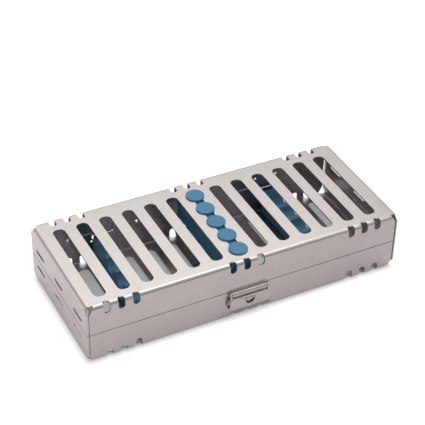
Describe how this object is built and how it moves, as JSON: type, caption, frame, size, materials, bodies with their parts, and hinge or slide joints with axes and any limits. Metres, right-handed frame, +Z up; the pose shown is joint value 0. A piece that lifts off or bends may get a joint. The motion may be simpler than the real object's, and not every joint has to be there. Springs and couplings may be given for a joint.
{
  "type": "dental instrument cassette",
  "caption": "Flat hinged box of slotted steel sheet with a front latch, silicone rails that cradle instruments, and a silicone clamp bar in the lid.",
  "frame": {"origin": "middle of the underside of the whole object's box, on the surface that it stands on", "axes": "+X along the long side, -Y towards the latch, +Z up out of the lid"},
  "size_m": [0.18, 0.0815, 0.036],
  "materials": {
    "stainless_sheet": "satin, finely grained stainless sheet",
    "pin_steel": "bright drawn wire",
    "blue_silicone": "matt moulded silicone"
  },
  "bodies": {
    "base": {"base_shell": "stainless_sheet", "left_instrument_rail": "blue_silicone", "right_instrument_rail": "blue_silicone", "latch_keeper": "stainless_sheet", "left_hinge_pin": "pin_steel", "right_hinge_pin": "pin_steel"},
    "lid": {"lid_shell": "stainless_sheet", "lid_clamp_bar": "blue_silicone"},
    "latch": {"latch_plate": "stainless_sheet", "latch_pin": "pin_steel"}
  },
  "joints": [
    {"name": "lid_hinge", "type": "hinge", "parent": "base", "child": "lid", "pos_m": [0, 0.0389, 0.018], "axis": [-1, 0, 0], "range_deg": [0, 180]},
    {"name": "latch_hinge", "type": "hinge", "parent": "lid", "child": "latch", "pos_m": [0, -0.03795, 0.0163], "axis": [-1, 0, 0], "range_deg": [0, 120]}
  ]
}
